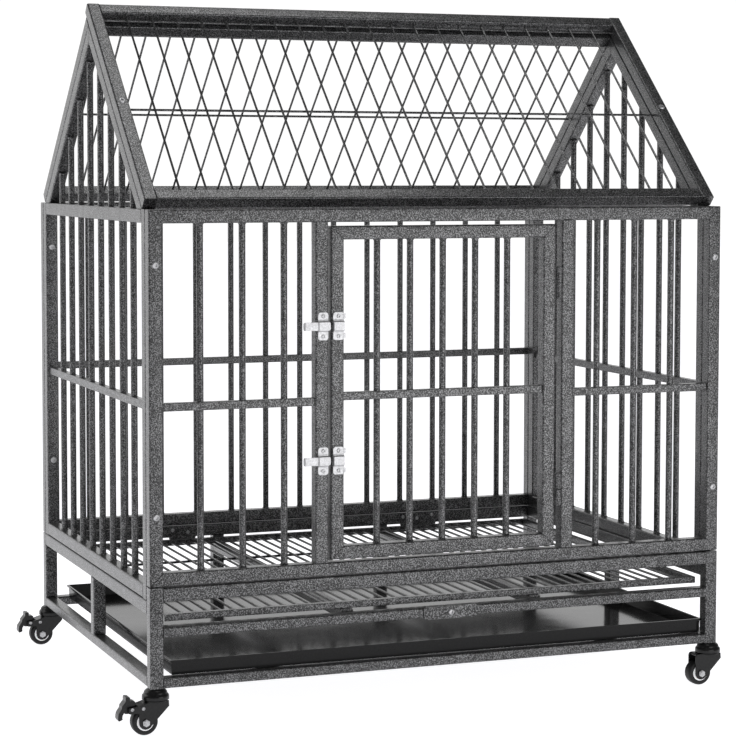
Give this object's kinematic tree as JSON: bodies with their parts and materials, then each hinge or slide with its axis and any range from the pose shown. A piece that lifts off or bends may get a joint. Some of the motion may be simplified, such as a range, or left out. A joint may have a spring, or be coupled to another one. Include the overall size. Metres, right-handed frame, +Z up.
{
  "type": "dog cage",
  "caption": "Dog cage of square tube and round bar with a barred front door, a pitched wire roof, a pull-out wire floor and tray, and swivel casters.",
  "frame": {"origin": "on the floor, at the centre of the box round the whole cage with its casters", "axes": "+Z up; -Y towards the door side; +X to the right of someone who faces the door"},
  "size_m": [0.983, 0.7, 1.064],
  "materials": {
    "hammered_grey_coat": "hammered speckled grey powder coat, semi-gloss",
    "black_gloss_coat": "smooth gloss black coat on sheet steel",
    "bright_zinc": "bright zinc plate",
    "black_pressed_steel": "black electro-coat on pressed steel",
    "black_tyre": "smooth black tread",
    "white_nylon": "white moulded wheel core"
  },
  "bodies": {
    "cage": {"front_frame": "hammered_grey_coat", "left_front_grille": "hammered_grey_coat", "right_front_grille": "hammered_grey_coat", "back_panel": "hammered_grey_coat", "left_side_panel": "hammered_grey_coat", "right_side_panel": "hammered_grey_coat", "front_roof_panel": "hammered_grey_coat", "rear_roof_panel": "hammered_grey_coat", "base_front_frame": "hammered_grey_coat", "base_back_frame": "hammered_grey_coat", "base_left_frame": "hammered_grey_coat", "base_right_frame": "hammered_grey_coat", "grate_support_left": "hammered_grey_coat", "grate_support_right": "hammered_grey_coat", "tray_support_left": "hammered_grey_coat", "tray_support_right": "hammered_grey_coat", "upper_hinge_post_knuckle": "hammered_grey_coat", "lower_hinge_post_knuckle": "hammered_grey_coat", "upper_latch_base": "bright_zinc", "lower_latch_base": "bright_zinc", "turn_button_screw": "bright_zinc", "front_left_caster_cap": "black_pressed_steel", "front_right_caster_cap": "black_pressed_steel", "rear_left_caster_cap": "black_pressed_steel", "rear_right_caster_cap": "black_pressed_steel"},
    "door": {"door_panel": "hammered_grey_coat", "upper_hinge_door_knuckle": "hammered_grey_coat", "lower_hinge_door_knuckle": "hammered_grey_coat", "upper_latch_keeper": "bright_zinc", "lower_latch_keeper": "bright_zinc"},
    "upper_bolt": {"upper_latch_bolt": "bright_zinc"},
    "lower_bolt": {"lower_latch_bolt": "bright_zinc"},
    "button": {"turn_button": "hammered_grey_coat"},
    "wire_floor": {"floor_grate": "hammered_grey_coat"},
    "tray_drawer": {"tray": "black_gloss_coat"},
    "front_left_fork": {"front_left_caster_fork": "black_pressed_steel", "front_left_caster_axle": "bright_zinc"},
    "front_left_wheel": {"front_left_caster_tyre": "black_tyre", "front_left_caster_hub": "white_nylon"},
    "front_left_pedal": {"front_left_caster_brake_pedal": "black_pressed_steel"},
    "front_right_fork": {"front_right_caster_fork": "black_pressed_steel", "front_right_caster_axle": "bright_zinc"},
    "front_right_wheel": {"front_right_caster_tyre": "black_tyre", "front_right_caster_hub": "white_nylon"},
    "rear_left_fork": {"rear_left_caster_fork": "black_pressed_steel", "rear_left_caster_axle": "bright_zinc"},
    "rear_left_wheel": {"rear_left_caster_tyre": "black_tyre", "rear_left_caster_hub": "white_nylon"},
    "rear_left_pedal": {"rear_left_caster_brake_pedal": "black_pressed_steel"},
    "rear_right_fork": {"rear_right_caster_fork": "black_pressed_steel", "rear_right_caster_axle": "bright_zinc"},
    "rear_right_wheel": {"rear_right_caster_tyre": "black_tyre", "rear_right_caster_hub": "white_nylon"}
  },
  "joints": [
    {"name": "door_hinge", "type": "hinge", "parent": "cage", "child": "door", "pos_m": [0.2035, -0.34, 0.48], "axis": [0, 0, 1], "range_deg": [0, 170]},
    {"name": "upper_latch_slide", "type": "slide", "parent": "cage", "child": "upper_bolt", "axis": [1, 0, 0], "range_m": [-0.012, 0.011]},
    {"name": "lower_latch_slide", "type": "slide", "parent": "cage", "child": "lower_bolt", "axis": [1, 0, 0], "range_m": [-0.012, 0.011]},
    {"name": "turn_button_pivot", "type": "hinge", "parent": "cage", "child": "button", "pos_m": [0.0265, -0.34, 0.147], "axis": [0, 1, 0], "range_deg": [-90, 0]},
    {"name": "wire_floor_slide", "type": "slide", "parent": "cage", "child": "wire_floor", "axis": [0, -1, 0], "range_m": [0, 0.5]},
    {"name": "tray_slide", "type": "slide", "parent": "cage", "child": "tray_drawer", "axis": [0, -1, 0], "range_m": [0, 0.5]},
    {"name": "front_left_swivel", "type": "hinge", "parent": "cage", "child": "front_left_fork", "pos_m": [-0.4285, -0.33, 0.05], "axis": [0, 0, 1], "continuous": true},
    {"name": "front_left_wheel_spin", "type": "hinge", "parent": "front_left_fork", "child": "front_left_wheel", "pos_m": [-0.446, -0.33, 0.01946], "axis": [0, 1, 0], "continuous": true},
    {"name": "front_left_brake", "type": "hinge", "parent": "front_left_fork", "child": "front_left_pedal", "pos_m": [-0.466, -0.33, 0.04], "axis": [0, -1, 0], "range_deg": [0, 12]},
    {"name": "front_right_swivel", "type": "hinge", "parent": "cage", "child": "front_right_fork", "pos_m": [0.4715, -0.33, 0.05], "axis": [0, 0, 1], "continuous": true},
    {"name": "front_right_wheel_spin", "type": "hinge", "parent": "front_right_fork", "child": "front_right_wheel", "pos_m": [0.454, -0.33, 0.01946], "axis": [0, 1, 0], "continuous": true},
    {"name": "rear_left_swivel", "type": "hinge", "parent": "cage", "child": "rear_left_fork", "pos_m": [-0.4285, 0.33, 0.05], "axis": [0, 0, 1], "continuous": true},
    {"name": "rear_left_wheel_spin", "type": "hinge", "parent": "rear_left_fork", "child": "rear_left_wheel", "pos_m": [-0.446, 0.33, 0.01946], "axis": [0, 1, 0], "continuous": true},
    {"name": "rear_left_brake", "type": "hinge", "parent": "rear_left_fork", "child": "rear_left_pedal", "pos_m": [-0.466, 0.33, 0.04], "axis": [0, -1, 0], "range_deg": [0, 12]},
    {"name": "rear_right_swivel", "type": "hinge", "parent": "cage", "child": "rear_right_fork", "pos_m": [0.4715, 0.33, 0.05], "axis": [0, 0, 1], "continuous": true},
    {"name": "rear_right_wheel_spin", "type": "hinge", "parent": "rear_right_fork", "child": "rear_right_wheel", "pos_m": [0.454, 0.33, 0.01946], "axis": [0, 1, 0], "continuous": true}
  ]
}
